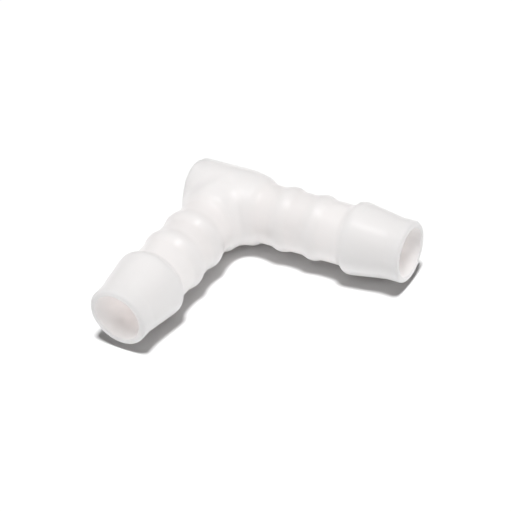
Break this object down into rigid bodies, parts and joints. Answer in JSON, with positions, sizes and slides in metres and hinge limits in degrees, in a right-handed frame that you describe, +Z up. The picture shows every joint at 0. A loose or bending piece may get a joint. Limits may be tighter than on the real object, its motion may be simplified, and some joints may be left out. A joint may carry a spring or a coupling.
{
  "type": "elbow hose connector",
  "caption": "Right-angle hose connector moulded in one piece of white plastic, with a barbed tail on each arm and one smooth bore that turns the corner.",
  "frame": {"origin": "on the surface that the part lies on, under the middle of its bounding box; both bore axes lie level, 12 mm above it, and cross 25.5 mm from the origin along -X and 25.5 mm along +Y", "axes": "+Z up; the run's axis lies along X with its mouth towards +X, and the branch's axis lies along Y with its mouth towards -Y"},
  "size_m": [0.075, 0.075, 0.024],
  "materials": {
    "white_plastic": "natural white moulded nylon, slightly translucent, satin to semi-gloss"
  },
  "bodies": {
    "root": {"elbow_connector": "white_plastic"}
  },
  "joints": []
}
